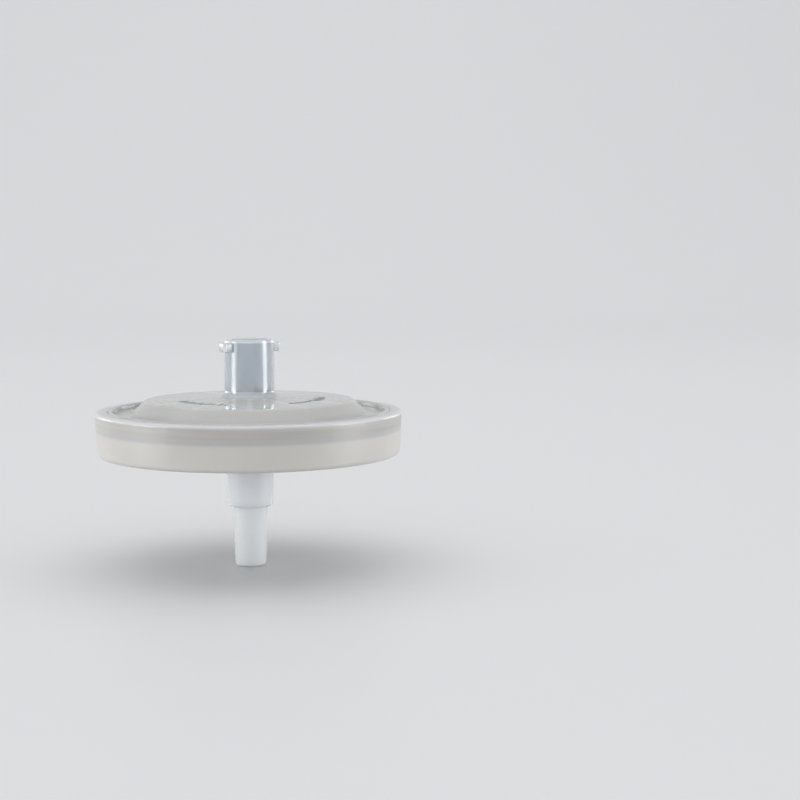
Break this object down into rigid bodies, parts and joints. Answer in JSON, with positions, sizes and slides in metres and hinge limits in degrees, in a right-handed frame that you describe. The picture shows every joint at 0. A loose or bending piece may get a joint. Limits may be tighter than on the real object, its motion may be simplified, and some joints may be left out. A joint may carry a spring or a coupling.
{
  "type": "syringe filter",
  "caption": "Round disposable syringe filter: Luer-lock inlet hub on a ribbed translucent housing, moulded edge ring, white membrane and Luer slip outlet.",
  "frame": {"origin": "centre of the outlet spout's end, which is also the bottom centre of the whole part", "axes": "+Z along the flow axis from the outlet up to the inlet; +X and +Y across the disc, with one lock lug beginning at +X and the other at -X, each running counterclockwise seen from the inlet"},
  "size_m": [0.0388, 0.0388, 0.029],
  "materials": {
    "shell_plastic": "natural translucent moulded polypropylene, glossy outside",
    "ring_plastic": "natural translucent polypropylene moulded over the flanges, slightly bluish and more milky than the shells",
    "membrane_white": "matt white microporous film"
  },
  "bodies": {
    "root": {"inlet_housing": "shell_plastic", "membrane": "membrane_white", "outlet_housing": "shell_plastic", "seal_ring": "ring_plastic"}
  },
  "joints": []
}
